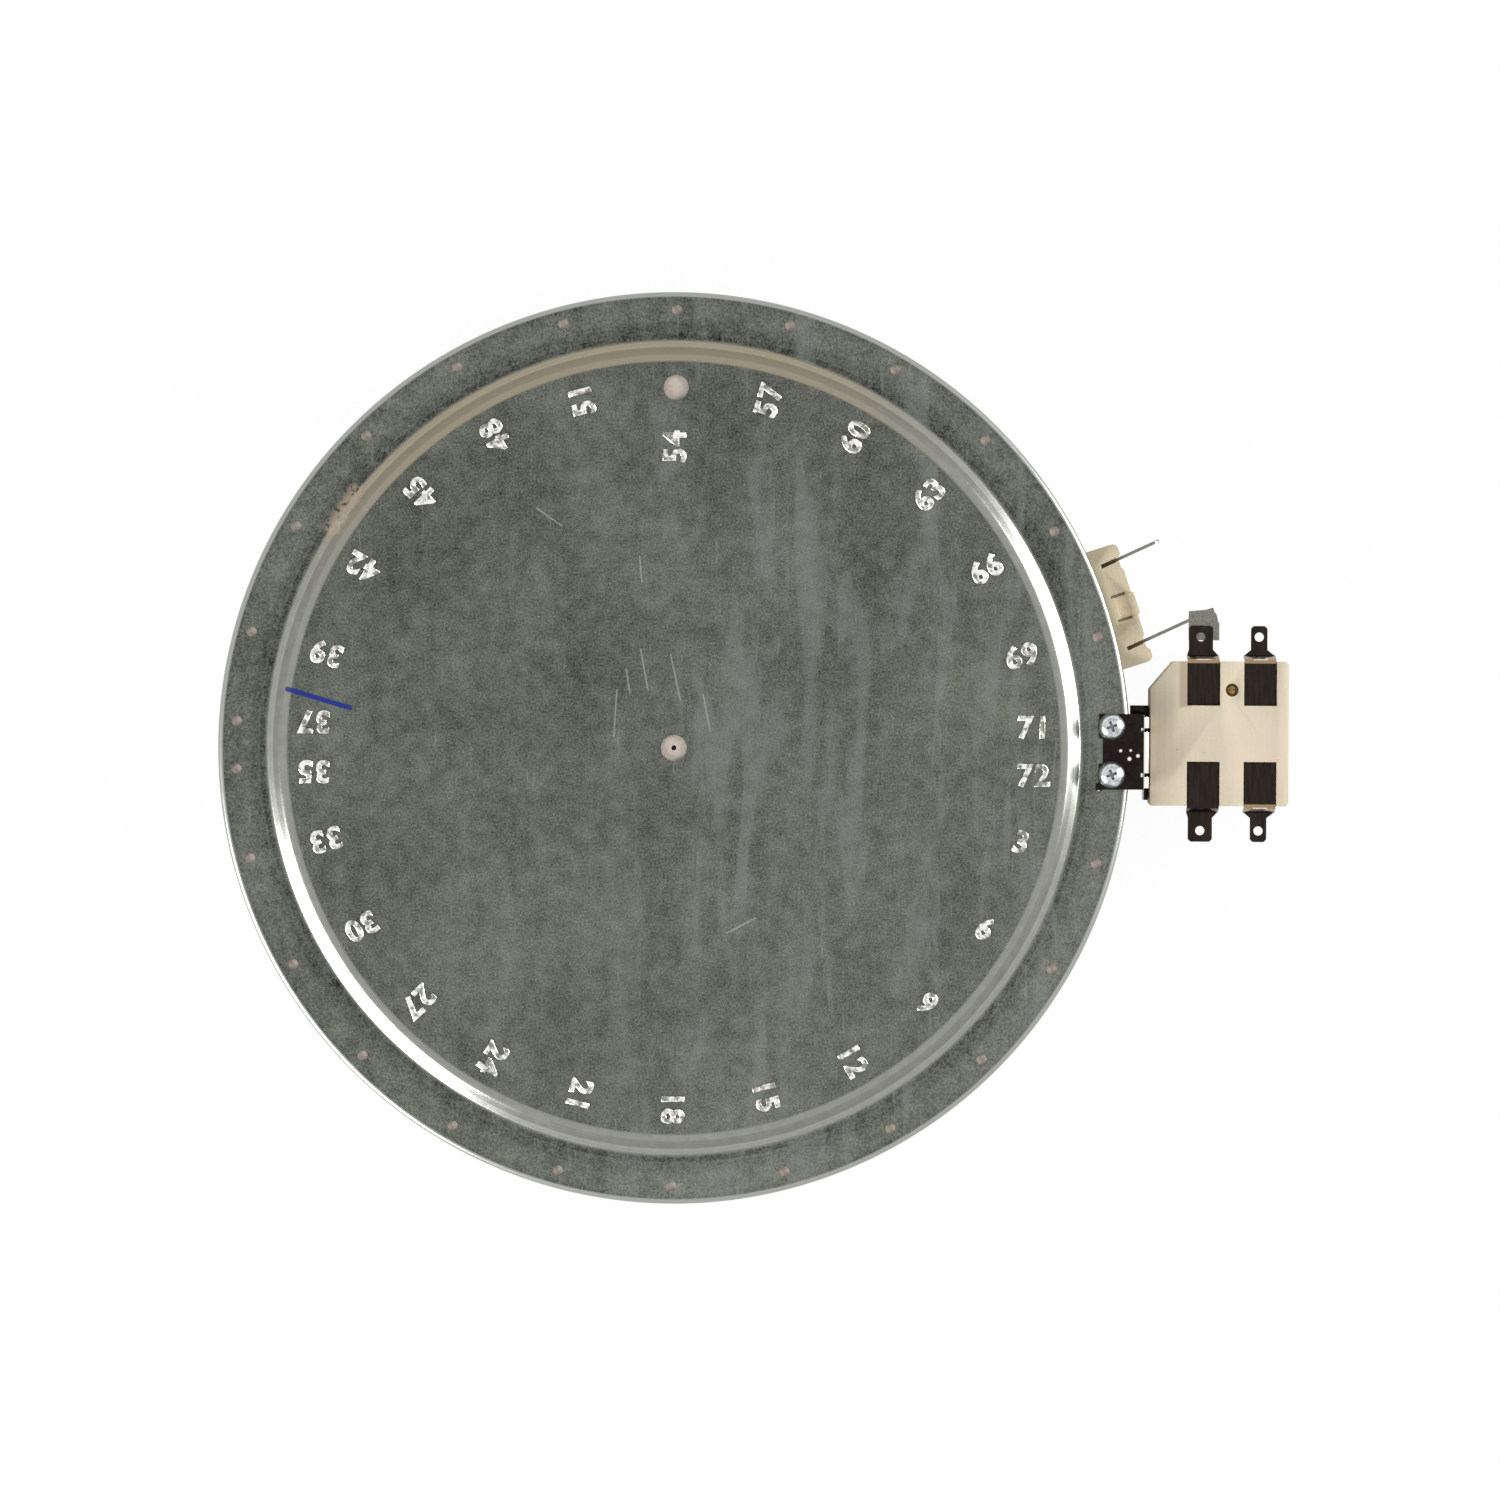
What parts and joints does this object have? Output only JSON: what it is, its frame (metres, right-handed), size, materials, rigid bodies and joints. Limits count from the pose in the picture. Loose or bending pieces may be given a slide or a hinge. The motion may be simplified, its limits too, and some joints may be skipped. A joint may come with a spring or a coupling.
{
  "type": "radiant cooktop heating element",
  "caption": "Round radiant heating element for a glass-ceramic cooktop: sheet-metal pan with insulation and a corrugated ribbon, a ceramic terminal block and a rod-type temperature limiter.",
  "frame": {"origin": "on the pan's axis, in the face of the insulating ring that presses on the glass", "axes": "+Z out of the underside along the pan's axis, +X towards the temperature limiter, +Y completes the right-handed frame; the element lies glass side down as in the picture"},
  "size_m": [0.279, 0.238, 0.0275],
  "materials": {
    "coated_sheet": "dull grey aluminised steel sheet with a fine mottle",
    "microporous": "matt pinkish pressed insulation",
    "ring_insulation": "matt pressed insulation ring",
    "ribbon_alloy": "oxidised resistance alloy",
    "block_ceramic": "unglazed beige technical ceramic",
    "body_ceramic": "unglazed beige technical ceramic",
    "blade_metal": "grey nickel-plated steel",
    "dark_plate": "bright plated steel that mirrors dark surroundings",
    "zinc": "bright zinc plate",
    "brass": "tarnished brass",
    "quartz": "clear quartz glass",
    "rod_alloy": "drawn heat-resistant alloy",
    "pin_ceramic": "white technical ceramic",
    "spring_alloy": "spring bronze",
    "silver": "silver contact metal"
  },
  "bodies": {
    "root": {"pan": "coated_sheet", "insulation_base": "microporous", "insulation_ring": "ring_insulation", "heating_ribbon": "ribbon_alloy", "ribbon_lead_feed": "ribbon_alloy", "ribbon_lead_link": "ribbon_alloy", "terminal_block": "block_ceramic", "blade_feed": "blade_metal", "blade_link": "blade_metal", "mounting_bracket": "dark_plate", "bracket_screws": "zinc", "limiter_base": "body_ceramic", "limiter_cover": "body_ceramic", "cover_screws": "zinc", "terminal_power_link": "dark_plate", "terminal_power_feed": "dark_plate", "terminal_signal_upper": "dark_plate", "terminal_signal_lower": "dark_plate", "adjusting_bush": "brass", "adjusting_screw": "brass", "probe_tube": "quartz", "probe_collar": "rod_alloy", "probe_rod": "rod_alloy", "probe_end_cap": "rod_alloy", "push_pin_power": "pin_ceramic", "push_pin_signal": "pin_ceramic", "snap_spring_power": "spring_alloy", "snap_spring_signal": "spring_alloy", "fixed_contacts": "silver", "moving_contacts": "silver"}
  },
  "joints": []
}
